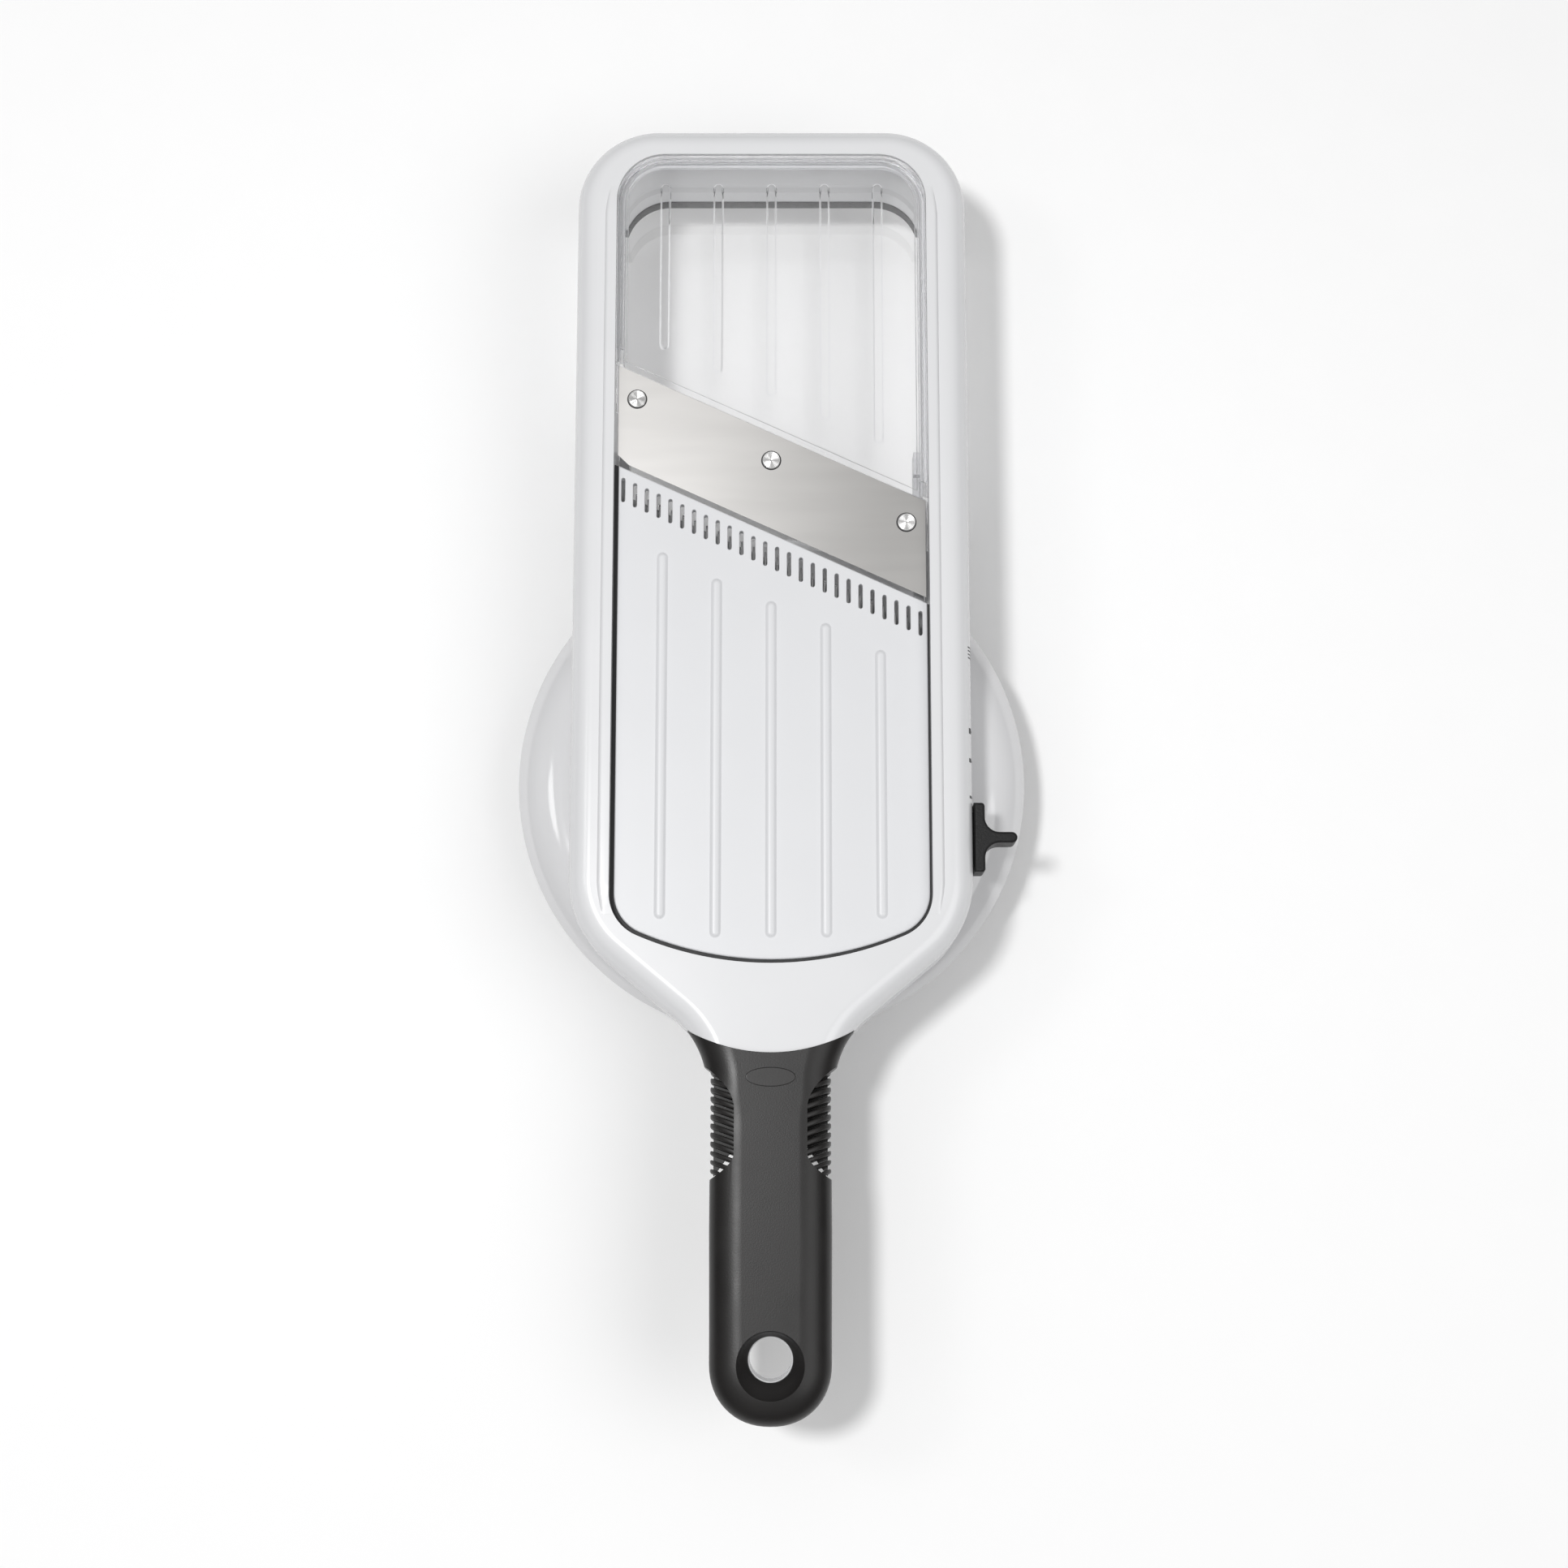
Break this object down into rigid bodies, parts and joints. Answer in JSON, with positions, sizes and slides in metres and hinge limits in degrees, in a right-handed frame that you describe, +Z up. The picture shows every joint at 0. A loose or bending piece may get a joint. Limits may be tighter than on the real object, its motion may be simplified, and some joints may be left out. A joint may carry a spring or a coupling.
{
  "type": "mandoline slicer",
  "caption": "Handheld mandoline slicer with a diagonal blade, a drop-down deck set by a thumb lever, a julienne comb that rises with it, and a food holder clipped underneath.",
  "frame": {"origin": "on the floor, under the middle of the slicer's length and width; the food holder's knob stands on z = 0", "axes": "+Y along the runway from the grip to the far end, +X to the side with the thumb lever, +Z up out of the runway"},
  "size_m": [0.1386, 0.347, 0.0551],
  "materials": {
    "white_shell": "glossy",
    "white_inner": "satin",
    "soft_grip": "soft touch",
    "clear": "clear plastic",
    "blade_steel": "brushed",
    "bright_steel": "bright",
    "black_plastic": "stippled",
    "foot_rubber": "matt"
  },
  "bodies": {
    "frame": {"frame_shell": "white_shell", "handle_grip": "soft_grip", "left_rail_cover": "white_inner", "right_rail_cover": "white_inner", "cover_screws": "bright_steel", "clear_ramp": "clear", "cutting_blade": "blade_steel", "blade_rivets": "bright_steel", "tip_foot": "foot_rubber", "detent_spring": "bright_steel"},
    "carriage": {"left_cam_plate": "white_inner", "right_cam_plate": "white_inner", "cam_cross_tie": "bright_steel", "tie_screws": "bright_steel", "thickness_lever": "black_plastic", "lever_screws": "bright_steel"},
    "deck": {"runway_deck": "white_shell", "follower_pins": "bright_steel"},
    "comb": {"comb_carrier": "white_inner", "julienne_blades": "blade_steel", "comb_pins": "bright_steel"},
    "food_holder": {"holder_brim": "white_shell", "holder_knob": "white_shell", "knob_grip": "soft_grip", "prong_plate": "white_inner", "holder_prongs": "bright_steel", "holder_screws": "bright_steel"}
  },
  "joints": [
    {"name": "lever_slide", "type": "slide", "parent": "frame", "child": "carriage", "axis": [0, 1, 0], "range_m": [0, 0.0486]},
    {"name": "deck_drop", "type": "slide", "parent": "frame", "child": "deck", "axis": [0, 0, -1], "range_m": [0, 0.0068]},
    {"name": "comb_lift", "type": "slide", "parent": "frame", "child": "comb", "axis": [0, 0, 1], "range_m": [0, 0.0064]},
    {"name": "holder_release", "type": "slide", "parent": "frame", "child": "food_holder", "axis": [0, 0, -1], "range_m": [0, 0.06]}
  ],
  "couplings": [
    {"joint": "deck_drop", "follows": "lever_slide", "ratio": 0.13992},
    {"joint": "comb_lift", "follows": "lever_slide", "ratio": 0.13169}
  ]
}
